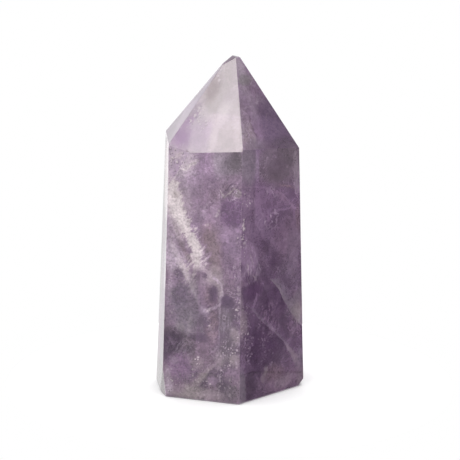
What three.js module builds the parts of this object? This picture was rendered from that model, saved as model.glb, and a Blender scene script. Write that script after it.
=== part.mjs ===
// A point of chevron amethyst: one quartz crystal, sawn flat at the foot and ground to six sides and six
// tip faces, so that it stands upright.
// Millimetres, +Z up. The front is towards -Y, and the origin is in the middle of the foot.
import * as THREE from 'three';
import { ConvexGeometry } from 'three/addons/geometries/ConvexGeometry.js';

// Every cut is a plane. Its azimuth is the way it faces, in degrees from the front towards +X. Its lean is
// how far it faces up, in degrees. Its distance is from the middle of the foot, in millimetres.
const FOOT = { name: 'foot', azimuth: 0, lean: -90, distance: 0 };

const SIDES = [
  { name: 'front left', azimuth: -18.5, lean: 2.8, distance: 14.85 },
  { name: 'front right', azimuth: 45.7, lean: 1.94, distance: 13.41 },
  { name: 'right', azimuth: 107.1, lean: 1.43, distance: 15.72 },
  { name: 'back', azimuth: 164.4, lean: 2.19, distance: 14.65 },
  { name: 'back left', azimuth: -128.7, lean: 3.13, distance: 13.29 },
  { name: 'left', azimuth: -82.3, lean: 1.7, distance: 15.81 },
];

const TIP_FACES = [
  { name: 'front left', azimuth: -21.6, lean: 31.3, distance: 39.25 },
  { name: 'front right', azimuth: 49.1, lean: 27.6, distance: 36.02 },
  { name: 'right', azimuth: 102.3, lean: 32.5, distance: 41.66 },
  { name: 'back', azimuth: 164.4, lean: 31.8, distance: 40.15 },
  { name: 'back left', azimuth: -132.1, lean: 30.1, distance: 37.42 },
  { name: 'left', azimuth: -70.0, lean: 38.3, distance: 46.66 },
];

// Small facets where a corner was taken off or came off
const CORNER_CUTS = [
  { name: 'left shoulder', azimuth: -26.6, lean: 7.9, distance: 20.19 },
  { name: 'chipped tip', azimuth: -56.1, lean: 54.4, distance: 60.37 },
  { name: 'blunt tip', azimuth: 95, lean: 79.5, distance: 73.5 },
  { name: 'left foot corner', azimuth: -71.1, lean: -4.4, distance: 16.39 },
  { name: 'right foot corner', azimuth: 80, lean: -35, distance: 13.0 },
];

// The narrow bevel around the foot
const BEVEL_HEIGHT = 0.35;
const BEVEL_LEAN = -45;

// Corners nearer to each other than this are one corner
const SAME_CORNER = 0.03;
const ON_PLANE = 1e-6;

const AMETHYST = new THREE.MeshStandardMaterial({ color: 0x7a6584, roughness: 0.12, metalness: 0 });

function bevelUnder({ name, azimuth, lean, distance }) {
  const rise = THREE.MathUtils.degToRad(lean);
  const reach = (distance - BEVEL_HEIGHT * Math.sin(rise)) / Math.cos(rise);
  const fall = THREE.MathUtils.degToRad(BEVEL_LEAN);
  const bevelDistance = reach * Math.cos(fall) + BEVEL_HEIGHT * Math.sin(fall);
  return { name: `${name} bevel`, azimuth, lean: BEVEL_LEAN, distance: bevelDistance };
}

function planeOf({ azimuth, lean, distance }) {
  const turn = THREE.MathUtils.degToRad(azimuth);
  const rise = THREE.MathUtils.degToRad(lean);
  const level = Math.cos(rise);
  const facing = new THREE.Vector3(Math.sin(turn) * level, -Math.cos(turn) * level, Math.sin(rise));
  return new THREE.Plane(facing, -distance);
}

// The one point that lies on three planes, or null if they don't meet in one point
function meetingPoint(a, b, c) {
  const bc = b.normal.clone().cross(c.normal);
  const volume = a.normal.dot(bc);
  if (Math.abs(volume) < ON_PLANE) {
    return null;
  }
  const ca = c.normal.clone().cross(a.normal);
  const ab = a.normal.clone().cross(b.normal);
  return bc.multiplyScalar(-a.constant)
    .addScaledVector(ca, -b.constant)
    .addScaledVector(ab, -c.constant)
    .divideScalar(volume);
}

// A stone's corners are the points where three of its planes meet and that no other plane cuts off
function cornersLeftBy(planes) {
  const corners = [];
  for (let i = 0; i < planes.length; i++) {
    for (let j = i + 1; j < planes.length; j++) {
      for (let k = j + 1; k < planes.length; k++) {
        const point = meetingPoint(planes[i], planes[j], planes[k]);
        const kept = point !== null && planes.every((plane) => plane.distanceToPoint(point) < ON_PLANE);
        if (kept && corners.every((corner) => corner.distanceTo(point) > SAME_CORNER)) {
          corners.push(point);
        }
      }
    }
  }
  return corners;
}

function amethystPoint() {
  const cuts = [FOOT, ...SIDES, ...TIP_FACES, ...CORNER_CUTS, ...SIDES.map(bevelUnder)];
  const geometry = new ConvexGeometry(cornersLeftBy(cuts.map(planeOf)));
  geometry.computeBoundingBox();
  const middle = geometry.boundingBox.getCenter(new THREE.Vector3());
  geometry.translate(-middle.x, -middle.y, 0);
  const mesh = new THREE.Mesh(geometry, AMETHYST);
  mesh.name = 'amethyst_point';
  return mesh;
}

const point = new THREE.Group();
point.add(amethystPoint());

export default point;
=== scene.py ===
"""Dresses a standing point of chevron amethyst: the ground and polished stone, its bands and clouds, and the
stage that it stands on.

Metres, +Z up, the front towards -Y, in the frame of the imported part. The stone's pattern is laid out in
millimetres, because its bands and patches are that small.
"""
import math

import bmesh
import bpy
from mathutils import Matrix, Vector, noise


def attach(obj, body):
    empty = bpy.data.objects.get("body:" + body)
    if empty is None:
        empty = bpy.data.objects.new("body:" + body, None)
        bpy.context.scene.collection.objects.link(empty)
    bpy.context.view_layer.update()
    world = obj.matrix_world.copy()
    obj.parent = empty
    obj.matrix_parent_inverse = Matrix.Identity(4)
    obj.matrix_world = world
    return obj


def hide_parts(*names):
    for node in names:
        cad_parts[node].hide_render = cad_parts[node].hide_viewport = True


bl_info = {
    "name": "Chevron amethyst point",
    "version": (1, 0, 0),
    "blender": (4, 5, 0),
    "location": "3D View > Sidebar > Amethyst",
    "description": "Makes a polished point of chevron amethyst and a plain stage for it",
    "category": "Object",
}

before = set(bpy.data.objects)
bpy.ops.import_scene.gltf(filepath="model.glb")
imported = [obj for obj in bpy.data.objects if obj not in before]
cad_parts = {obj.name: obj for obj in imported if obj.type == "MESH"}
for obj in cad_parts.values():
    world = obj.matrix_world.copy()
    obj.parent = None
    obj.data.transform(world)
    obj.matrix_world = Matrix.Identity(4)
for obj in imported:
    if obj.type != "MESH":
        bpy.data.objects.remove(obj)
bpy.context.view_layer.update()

NODE = "amethyst_point"
STONE = "amethyst_stone"
MM = 0.001

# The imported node's corners are merged where they touch, and where grinding left two less than this apart
TOUCHING = 0.001 * MM
ONE_CORNER = 0.12 * MM
# Cuts that come this near to a corner go through it
SPECK = 0.01 * MM
# Faces that turn by less than this are one, and edges that turn by more than this are shaded sharp
FLAT = math.radians(0.5)
SHARP = math.radians(33)

# A chip's scoop stands off its edge by this share of its radius, and slides along it by up to this much
SCOOP_STAND_OFF = 0.8
SCOOP_SLIDE = 1.2 * MM
SCOOP_SUBDIVISIONS = 3

# Which way each ground face faces: azimuth from the front towards +X, and lean above level, in degrees
FACES = {
    "front left side": (-18.5, 2.8),
    "front right side": (45.7, 1.94),
    "right side": (107.1, 1.43),
    "back side": (164.4, 2.19),
    "back left side": (-128.7, 3.13),
    "left side": (-82.3, 1.7),
    "front left tip": (-21.6, 31.3),
    "front right tip": (49.1, 27.6),
    "right tip": (102.3, 32.5),
    "back tip": (164.4, 31.8),
    "back left tip": (-132.1, 30.1),
    "left tip": (-70.0, 38.3),
    "left shoulder": (-26.6, 7.9),
    "chipped tip": (-56.1, 54.4),
}

# How far slow and quick noise bend the growth zones, and how far their edges are frayed, in millimetres
SLOW_BEND = 1.8
QUICK_BEND = 0.8
FRAY = 1.0
# The same for the crisp lines
CRISP_BEND = 0.4
CRISP_FRAY = 0.15

# How far fibres are turned clockwise from upright, in degrees: in torn edges, and in two kinds of brushing
TEARS_TURN = 48
RISING_TURN = 42
UPRIGHT_TURN = 4
# Noise that goes from the first value to the second goes from none of a fibre, cloud or veiled place to all
FIBRE_EDGE = (0.45, 0.62)
CLOUD_EDGE = (0.5, 0.68)
VEILED_EDGE = (0.42, 0.6)
# How much of what is under it the middle of a cloud covers
CLOUD_COVER = 0.6
# How soft the outline of a zone of flecks, veils or net is
ZONE_SOFTNESS = 0.6

# Clear quartz: how it bends light, how much of the stone it is, and what it takes from the light inside
QUARTZ_IOR = 1.544
CLEAR_SHARE = 0.5
CLEAR_TINT = (0.5, 0.32, 0.62, 1)
CLEAR_DENSITY = 25.0

# The lights and the card face a point at this height in the stone, from this distance
LIGHTS_AIM = 0.04
LIGHTS_DISTANCE = 0.6


def facing(azimuth, lean):
    """The unit vector that looks along an azimuth and a lean, in degrees"""
    turn, rise = math.radians(azimuth), math.radians(lean)
    level = math.cos(rise)
    return Vector((math.sin(turn) * level, -math.cos(turn) * level, math.sin(rise)))


def a_length(name, description, default):
    """A setting that is a length in metres"""
    return bpy.props.FloatProperty(name=name, description=description, default=default, unit="LENGTH")


def an_angle(name, description, degrees):
    """A setting that is an angle"""
    return bpy.props.FloatProperty(
        name=name, description=description, default=math.radians(degrees), subtype="ANGLE")


def a_colour(name, description, colour):
    """A setting that is a colour"""
    return bpy.props.FloatVectorProperty(name=name, description=description, default=colour, subtype="COLOR")


class StoneSettings(bpy.types.PropertyGroup):
    """Sizes of what grinding, polishing and handling left on the stone"""

    edge_round: a_length("Edge round", "Width of the worn edge between two faces", 0.06 * MM)
    foot_round: a_length("Foot round", "Width of the worn edges around the foot's bevel", 0.05 * MM)
    edge_steps: bpy.props.IntProperty(
        name="Edge steps", description="Strips across a worn edge", default=3)
    grid: a_length("Grid", "Size of the squares that the faces are cut into", 1.1 * MM)
    crown: a_length("Crown", "How far the middle of a face stands proud of its edges", 0.1 * MM)
    crown_reach: a_length("Crown reach", "How far from an edge a face levels out", 4 * MM)
    ripple: a_length("Ripple", "Height of the waves that the polishing wheel left", 0.012 * MM)
    ripple_length: a_length("Ripple length", "Length of the waves that the polishing wheel left", 7 * MM)
    chip_spacing: a_length(
        "Chip spacing", "Distance between the places on an edge where a chip may be", 3.4 * MM)
    chip_share: bpy.props.FloatProperty(
        name="Chip share", description="Share of those places that have a chip",
        default=0.16, subtype="FACTOR", min=0, max=1)
    chip_smallest: a_length("Smallest chip", "Radius of the smallest scoop", 0.2 * MM)
    chip_largest: a_length("Largest chip", "Radius of the largest scoop", 0.4 * MM)
    chip_seed: bpy.props.IntProperty(
        name="Chip seed", description="Another number gives another set of chips", default=4)


class ColourSettings(bpy.types.PropertyGroup):
    """Colours of the quartz and of what is in it"""

    snow: a_colour("Snow", "The whitest quartz", (1.0, 0.88, 0.9))
    milk: a_colour("Milk", "The white bands", (0.9, 0.78, 0.8))
    cream: a_colour("Cream", "Milky quartz between the bands", (0.7, 0.59, 0.61))
    pale: a_colour("Pale", "Pale lilac quartz, veils and healed cracks", (0.62, 0.49, 0.61))
    pearl: a_colour("Pearl", "Pale quartz with hardly any purple", (0.52, 0.42, 0.47))
    lilac: a_colour("Lilac", "Light purple quartz", (0.44, 0.3, 0.45))
    mauve: a_colour("Mauve", "The stone's middle purple, with some grey", (0.3, 0.2, 0.29))
    dusk: a_colour("Dusk", "Greyish purple between the bands", (0.22, 0.15, 0.2))
    purple: a_colour("Purple", "Clear purple quartz", (0.2, 0.13, 0.21))
    violet: a_colour("Violet", "The most saturated growth zones", (0.15, 0.075, 0.165))
    orchid: a_colour("Orchid", "Purple that shows through a shining face", (0.23, 0.06, 0.26))
    slate: a_colour("Slate", "Bluish grey quartz between the bands", (0.22, 0.17, 0.235))
    iris: a_colour("Iris", "Clear bluish purple near the tip", (0.26, 0.183, 0.285))
    shade: a_colour("Shade", "Deep purple with some grey", (0.125, 0.085, 0.132))
    plum: a_colour("Plum", "Dark growth zones", (0.095, 0.055, 0.105))
    night: a_colour("Night", "The darkest spots", (0.05, 0.018, 0.06))
    smoke: a_colour("Smoke", "Dark smoky quartz", (0.16, 0.13, 0.15))
    soot: a_colour("Soot", "The darkest smoky quartz", (0.085, 0.07, 0.078))
    ash: a_colour("Ash", "Light grey quartz", (0.4, 0.34, 0.38))
    grey: a_colour("Grey", "Plain grey quartz", (0.33, 0.3, 0.31))
    haze: a_colour("Haze", "Grey quartz with a little lilac", (0.34, 0.28, 0.345))
    brown: a_colour("Brown", "Brown-grey quartz", (0.27, 0.185, 0.2))
    beige: a_colour("Beige", "Pale grains", (0.47, 0.4, 0.4))


class StageSettings(bpy.types.PropertyGroup):
    """Sizes of the floor, the lights and the camera's place"""

    floor_radius: a_length("Floor radius", "Radius of the pale round floor", 0.05)
    camera_distance: a_length("Camera distance", "From the camera to the point it aims at", 0.6)
    camera_elevation: an_angle("Camera elevation", "How far the camera looks down", 14.5)
    camera_roll: an_angle("Camera roll", "How far the camera leans to its left", 0.467)
    aim: bpy.props.FloatVectorProperty(
        name="Aim", description="The point that the camera aims at", subtype="TRANSLATION",
        default=(-0.000198, 0.000109, 0.035377))
    lens: bpy.props.FloatProperty(
        name="Lens", description="Focal length in millimetres, on a 36 mm sensor", default=211.64)
    room_light: bpy.props.FloatProperty(
        name="Room light", description="Brightness of the white room", default=1.0)
    key_light: bpy.props.FloatProperty(
        name="Key light", description="Brightness of the softbox at the upper left", default=4.5)


def merged_form(node):
    """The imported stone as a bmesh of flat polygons"""
    form = bmesh.new()
    form.from_mesh(node.data)
    bmesh.ops.remove_doubles(form, verts=form.verts, dist=TOUCHING)
    bmesh.ops.remove_doubles(form, verts=form.verts, dist=ONE_CORNER)
    bmesh.ops.dissolve_limit(form, angle_limit=FLAT, verts=form.verts, edges=form.edges)
    form.normal_update()
    return form


def is_by_the_foot(edge):
    """Whether an edge belongs to the narrow bevel around the foot"""
    bevel_top = 0.5 * MM
    return max(vert.co.z for vert in edge.verts) < bevel_top


def round_edges(form, wanted, width, steps):
    """Rounds the edges that are wanted and that still stand out"""
    least_angle = math.radians(15)
    edges = [edge for edge in form.edges if wanted(edge) and edge.calc_face_angle() > least_angle]
    bmesh.ops.bevel(
        form, geom=edges, offset=width, segments=steps, profile=0.5, affect="EDGES", clamp_overlap=True)


class Facet:
    """A flat face of the stone, with the lines that bound it"""

    def __init__(self, face):
        self.normal = face.normal.copy()
        # The foot and its bevel look down, and stay without a crown
        self.crowned = self.normal.z > -0.5
        self.sides = []
        for loop in face.loops:
            start, end = loop.vert.co, loop.link_loop_next.vert.co
            inward = self.normal.cross(end - start).normalized()
            self.sides.append((start.copy(), inward))

    def crown_at(self, point, height, reach):
        """How far the crowned face stands proud at a point on it"""
        if not self.crowned:
            return 0.0
        share = 1.0
        for start, inward in self.sides:
            distance = max(0.0, (point - start).dot(inward))
            share *= 1 - math.exp(-distance / reach)
        return height * share


def cut_into_squares(form, spacing):
    """Cuts the stone along level and upright planes, so that its faces can bend"""
    for axis in range(3):
        values = [vert.co[axis] for vert in form.verts]
        low, high = min(values), max(values)
        count = int((high - low) / spacing)
        for step in range(1, count + 1):
            place = Vector((0, 0, 0))
            place[axis] = low + (high - low) * step / (count + 1)
            direction = Vector((0, 0, 0))
            direction[axis] = 1
            bmesh.ops.bisect_plane(
                form, geom=form.verts[:] + form.edges[:] + form.faces[:],
                dist=SPECK, plane_co=place, plane_no=direction)
    bmesh.ops.remove_doubles(form, verts=form.verts, dist=SPECK)


def shape_faces(form, layer, facets, settings):
    """Crowns the faces and ripples them as hand polishing does. The foot stays flat."""
    form.normal_update()
    moves = []
    ripple_start = 3 * MM
    for vert in form.verts:
        owners = {face[layer] for face in vert.link_faces}
        move = Vector((0, 0, 0))
        if len(owners) == 1:
            facet = facets[owners.pop()]
            move += facet.normal * facet.crown_at(vert.co, settings.crown, settings.crown_reach)
        share = min(1.0, vert.co.z / ripple_start)
        wave = noise.noise(vert.co / settings.ripple_length)
        move += vert.normal * wave * settings.ripple * share
        moves.append(move)
    for vert, move in zip(form.verts, moves):
        vert.co += move


def new_object(name, data):
    """Puts a mesh, a light or a camera in the scene as an object at the origin"""
    made = bpy.data.objects.new(name, data)
    bpy.context.scene.collection.objects.link(made)
    return made


def object_of(form, name):
    """Puts a bmesh in the scene as an object at the origin, and frees it"""
    mesh = bpy.data.meshes.new(name)
    form.to_mesh(mesh)
    form.free()
    return new_object(name, mesh)


def edge_lines(form):
    """Each long edge as a line of its own that knows which way is out of the stone"""
    places, lines, outward = [], [], []
    shortest = 4 * MM
    for edge in form.edges:
        if is_by_the_foot(edge) or edge.calc_length() < shortest:
            continue
        out = sum((face.normal for face in edge.link_faces), Vector()).normalized()
        lines.append((len(places), len(places) + 1))
        for vert in edge.verts:
            places.append(vert.co.copy())
            outward.append(out)
    mesh = bpy.data.meshes.new("edge lines")
    mesh.from_pydata(places, lines, [])
    attribute = mesh.attributes.new("outward", "FLOAT_VECTOR", "POINT")
    for row, out in zip(attribute.data, outward):
        row.vector = out
    return new_object("edge_lines", mesh)


class Tree:
    """Adds nodes to a node tree and joins them up"""

    def __init__(self, tree):
        self.tree = tree

    def node(self, kind, inputs=None, **settings):
        """Adds a node, sets it up, and feeds its inputs with values or with other nodes' outputs"""
        made = self.tree.nodes.new(kind)
        for name, value in settings.items():
            setattr(made, name, value)
        for key, value in (inputs or {}).items():
            self.feed(made.inputs[key], value)
        return made

    def feed(self, socket, value):
        """Links an output to an input, or sets the input to a plain value"""
        if isinstance(value, bpy.types.NodeSocket):
            self.tree.links.new(value, socket)
        else:
            socket.default_value = value


def chip_tree():
    """Geometry Nodes that take scoops out of a stone along its edges"""
    group = bpy.data.node_groups.new("Edge chips", "GeometryNodeTree")
    group.interface.new_socket("Geometry", in_out="OUTPUT", socket_type="NodeSocketGeometry")
    for name, kind in (
        ("Stone", "Geometry"), ("Edge lines", "Object"), ("Spacing", "Float"), ("Share", "Float"),
        ("Smallest", "Float"), ("Largest", "Float"), ("Seed", "Int"), ("Material", "Material"),
    ):
        group.interface.new_socket(name, in_out="INPUT", socket_type="NodeSocket" + kind)
    tree = Tree(group)
    given = tree.node("NodeGroupInput").outputs

    def chosen(kind, **limits):
        """A random value for each scoop"""
        limits["Seed"] = given["Seed"]
        return tree.node("FunctionNodeRandomValue", limits, data_type=kind).outputs

    lines = tree.node("GeometryNodeObjectInfo", {"Object": given["Edge lines"]})
    curves = tree.node("GeometryNodeMeshToCurve", {"Mesh": lines.outputs["Geometry"]})
    places = tree.node(
        "GeometryNodeCurveToPoints", {"Curve": curves.outputs["Curve"], "Length": given["Spacing"]},
        mode="LENGTH")
    chance = chosen("BOOLEAN", Probability=given["Share"])[3]
    radius = chosen("FLOAT", Min=given["Smallest"], Max=given["Largest"])[1]
    outward = tree.node("GeometryNodeInputNamedAttribute", {"Name": "outward"}, data_type="FLOAT_VECTOR")
    # A scoop's middle lies outside the stone, so that only its shallow side cuts
    stand_off = tree.node("ShaderNodeMath", {0: radius, 1: SCOOP_STAND_OFF}, operation="MULTIPLY")
    offset = tree.node(
        "ShaderNodeVectorMath", {0: outward.outputs["Attribute"], "Scale": stand_off.outputs[0]},
        operation="SCALE")
    slide = chosen("FLOAT_VECTOR", Min=(-SCOOP_SLIDE,) * 3, Max=(SCOOP_SLIDE,) * 3)[0]
    along = tree.node(
        "ShaderNodeVectorMath", {0: slide, 1: places.outputs["Tangent"]}, operation="PROJECT")
    shift = tree.node("ShaderNodeVectorMath", {0: offset.outputs[0], 1: along.outputs[0]}, operation="ADD")
    moved = tree.node(
        "GeometryNodeSetPosition", {"Geometry": places.outputs["Points"], "Offset": shift.outputs[0]})
    scoop = tree.node("GeometryNodeMeshIcoSphere", {"Radius": 1.0, "Subdivisions": SCOOP_SUBDIVISIONS})
    turn = chosen("FLOAT_VECTOR", Min=(0.0,) * 3, Max=(math.tau,) * 3)[0]
    scoops = tree.node("GeometryNodeInstanceOnPoints", {
        "Points": moved.outputs["Geometry"], "Selection": chance, "Instance": scoop.outputs["Mesh"],
        "Rotation": turn, "Scale": radius,
    })
    solid = tree.node("GeometryNodeRealizeInstances", {"Geometry": scoops.outputs["Instances"]})
    chipped = tree.node(
        "GeometryNodeMeshBoolean", {"Mesh 1": given["Stone"], "Mesh 2": solid.outputs["Geometry"]},
        operation="DIFFERENCE", solver="MANIFOLD")
    plain = tree.node("GeometryNodeRealizeInstances", {"Geometry": chipped.outputs["Mesh"]})
    dressed = tree.node(
        "GeometryNodeSetMaterial", {"Geometry": plain.outputs["Geometry"], "Material": given["Material"]})
    tree.node("NodeGroupOutput", {"Geometry": dressed.outputs["Geometry"]})
    return group


def apply_modifier(target, modifier):
    """Keeps what a modifier makes as the object's own mesh, and removes the modifier"""
    target.update_tag()
    bpy.context.view_layer.update()
    evaluated = target.evaluated_get(bpy.context.evaluated_depsgraph_get())
    mesh = bpy.data.meshes.new_from_object(evaluated)
    target.modifiers.remove(modifier)
    target.data = mesh


def run_geometry_nodes(target, group, values):
    """Puts a tree on an object, sets its inputs and keeps its result"""
    modifier = target.modifiers.new(group.name, "NODES")
    modifier.node_group = group
    for item in group.interface.items_tree:
        if item.in_out == "INPUT" and item.name in values:
            modifier[item.identifier] = values[item.name]
    apply_modifier(target, modifier)


def shade_evenly(target):
    """Shades the flat faces flat right up to their edges, and the worn edges round"""
    target.data.shade_smooth()
    target.data.set_sharp_from_angle(angle=SHARP)
    modifier = target.modifiers.new("even shading", "WEIGHTED_NORMAL")
    modifier.keep_sharp = True
    apply_modifier(target, modifier)


class Pattern(Tree):
    """A material's tree, with the sums and textures that the stone's pattern needs, in millimetres"""

    def maths(self, operation, *values):
        """A sum of numbers"""
        return self.node("ShaderNodeMath", dict(enumerate(values)), operation=operation).outputs[0]

    def vectors(self, operation, *values, scale=None):
        """A sum of vectors. A dot product or a length comes out as a number."""
        inputs = dict(enumerate(values))
        if scale is not None:
            inputs["Scale"] = scale
        made = self.node("ShaderNodeVectorMath", inputs, operation=operation)
        return made.outputs["Value" if operation in ("DOT_PRODUCT", "LENGTH") else "Vector"]

    def step(self, value, start, end, low=0.0, high=1.0):
        """Goes smoothly from low to high as the value goes from start to end"""
        if start > end:
            start, end, low, high = end, start, high, low
        inputs = {"Value": value, "From Min": start, "From Max": end, "To Min": low, "To Max": high}
        # A smooth step stays between low and high anyway, and a clamp would cost the renderer a node
        made = self.node("ShaderNodeMapRange", inputs, interpolation_type="SMOOTHSTEP", clamp=False)
        return made.outputs["Result"]

    def noise(self, where, size, detail, roughness=0.5, colour=False):
        """Cloudy noise with lumps of about a size"""
        inputs = {"Vector": where, "Scale": 1 / size, "Detail": detail, "Roughness": roughness}
        return self.node("ShaderNodeTexNoise", inputs).outputs["Color" if colour else "Fac"]

    def flecks(self, where, size, radius, share):
        """Small round flecks, in a share of the cells of a size"""
        solid_part = 0.3
        cells = self.node("ShaderNodeTexVoronoi", {"Vector": where, "Scale": 1 / size})
        chance = self.node("ShaderNodeSeparateColor", {0: cells.outputs["Color"]}).outputs[0]
        near = self.step(cells.outputs["Distance"], radius / size, solid_part * radius / size)
        return self.maths("MULTIPLY", near, self.maths("LESS_THAN", chance, share))

    def product(self, *values):
        """All the values multiplied"""
        made = values[0]
        for value in values[1:]:
            made = self.maths("MULTIPLY", made, value)
        return made

    def lay(self, colour, mask, over, in_range=True):
        """Lays a colour over another where a mask says, which is kept between nothing and all unless told"""
        inputs = {0: mask, 6: over, 7: colour}
        return self.node("ShaderNodeMix", inputs, data_type="RGBA", clamp_factor=in_range).outputs[2]

    def blend(self, value, mask, over):
        """Goes from one number to another where a mask says"""
        return self.node("ShaderNodeMix", {0: mask, 2: over, 3: value}, data_type="FLOAT").outputs[0]

    def curve(self, value, points):
        """A smooth curve through points, both ways from 0 to 1"""
        made = self.node("ShaderNodeFloatCurve", {"Value": value})
        line = made.mapping.curves[0]
        line.points[0].location = points[0]
        line.points[1].location = points[-1]
        for point in points[1:-1]:
            line.points.new(*point)
        made.mapping.update()
        return made.outputs[0]


class Textures:
    """The fine structure that all the faces share"""

    def __init__(self, paint):
        spot = paint.node("ShaderNodeTexCoord").outputs["Object"]
        self.place = place = paint.vectors("SCALE", spot, scale=1 / MM)
        # Growth isn't even, so the whole pattern is bent by slow and quick noise
        half = (0.5,) * 3
        slow = paint.vectors("SUBTRACT", paint.noise(place, 6, 3, colour=True), half)
        quick = paint.vectors("SUBTRACT", paint.noise(place, 1.3, 3, colour=True), half)
        bent = paint.vectors("MULTIPLY_ADD", slow, (SLOW_BEND,) * 3, place)
        self.bent = bent = paint.vectors("MULTIPLY_ADD", quick, (QUICK_BEND,) * 3, bent)
        # The bands and patches are frayed once more, and crisp lines much less. A shader this large must
        # have its lookups in this order, or the renderer keeps too many half-made values and gives up.
        torn = paint.vectors("SUBTRACT", paint.noise(bent, 0.6, 3, 0.6, colour=True), half)
        crisp = paint.vectors("MULTIPLY_ADD", quick, (CRISP_BEND,) * 3, place)
        self.coarse = paint.noise(bent, 2.2, 3, 0.6)
        self.fine = paint.noise(bent, 0.5, 3, 0.7)
        sparks, shades = self.small_flecks(paint)
        long_tears = self.tears(paint, 0.8, 3.0, 4.6)
        short_tears = self.tears(paint, 0.3, 1.4, 2.4)
        frayed = paint.vectors("MULTIPLY_ADD", torn, (FRAY,) * 3, bent)
        straight = paint.vectors("MULTIPLY_ADD", torn, (CRISP_FRAY,) * 3, crisp)
        self.shared = {
            "Frayed": frayed,
            "Straight": straight,
            "Height": paint.vectors("DOT_PRODUCT", frayed, (0, 0, 1)),
            "Straight height": paint.vectors("DOT_PRODUCT", straight, (0, 0, 1)),
            "Light clouds": self.clouds(paint, 4, (0, 0, 0)),
            "Dark clouds": self.clouds(paint, 5, (31, 17, 5)),
            "Veils": self.thin_sheets(paint, 4.5, 0.018, (7, 3, 11)),
            "Web": self.thin_sheets(paint, 1.6, 0.035, (2, 9, 4)),
            "Sparks": sparks,
            "Shades": shades,
            "Tears": paint.maths("ADD", long_tears, short_tears),
            "Rising fibres": paint.step(self.fibres(paint, RISING_TURN, 0.4, 2.5), *FIBRE_EDGE),
            "Upright fibres": paint.step(self.fibres(paint, UPRIGHT_TURN, 0.32, 3.0), *FIBRE_EDGE),
        }

    def fibres(self, paint, turn, width, length):
        """Noise drawn out along a direction, which is turned clockwise from upright as the front left side
        shows it"""
        angle, facing_turn = math.radians(turn), math.radians(FACES["front left side"][0])
        sideways, upward = Vector((math.cos(facing_turn), math.sin(facing_turn), 0)), Vector((0, 0, 1))
        short_way = sideways * math.cos(angle) - upward * math.sin(angle)
        long_way = sideways * math.sin(angle) + upward * math.cos(angle)
        inward = short_way.cross(long_way)
        axes = (short_way / width, long_way / length, inward / (3 * width))
        place = paint.node("ShaderNodeCombineXYZ", {
            number: paint.vectors("DOT_PRODUCT", self.bent, tuple(axis)) for number, axis in enumerate(axes)
        }).outputs[0]
        return paint.noise(place, 1.0, 2, 0.6)

    def tears(self, paint, width, length, reach):
        """How far fibres pull an edge out or in, with a reach from the one to the other"""
        return paint.maths("MULTIPLY_ADD", self.fibres(paint, TEARS_TURN, width, length), reach, -reach / 2)

    def clouds(self, paint, size, shift):
        """Soft clouds of a size"""
        cloudy = paint.noise(paint.vectors("ADD", self.bent, shift), size, 5, 0.65)
        return paint.step(cloudy, *CLOUD_EDGE, 0.0, CLOUD_COVER)

    def thin_sheets(self, paint, size, width, shift):
        """Healed cracks, which show as thin curved lines"""
        folds = paint.noise(paint.vectors("ADD", self.bent, shift), size, 3)
        off = paint.maths("ABSOLUTE", paint.maths("SUBTRACT", folds, 0.5))
        veiled = paint.step(paint.noise(self.place, size, 2), *VEILED_EDGE)
        return paint.maths("MULTIPLY", paint.step(off, 0.0, width, 1.0, 0.0), veiled)

    def small_flecks(self, paint):
        """Bubbles and glints of two sizes, and the shade that each has on one side"""
        share_of_bend, shade_size, shade_strength = 0.6, 1.3, 0.7
        bend = paint.vectors("SUBTRACT", self.bent, self.place)
        where = paint.vectors("MULTIPLY_ADD", bend, (share_of_bend,) * 3, self.place)
        aside = paint.vectors("ADD", where, (-0.12, 0.0, 0.14))
        lights, darks = [], []
        for size, radius, share in ((0.55, 0.2, 0.5), (1.2, 0.38, 0.4)):
            lights.append(paint.flecks(where, size, radius, share))
            darks.append(paint.flecks(aside, size, shade_size * radius, share))
        sparks = paint.maths("MAXIMUM", *lights)
        return sparks, paint.maths("MULTIPLY", paint.maths("MAXIMUM", *darks), shade_strength)


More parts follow.
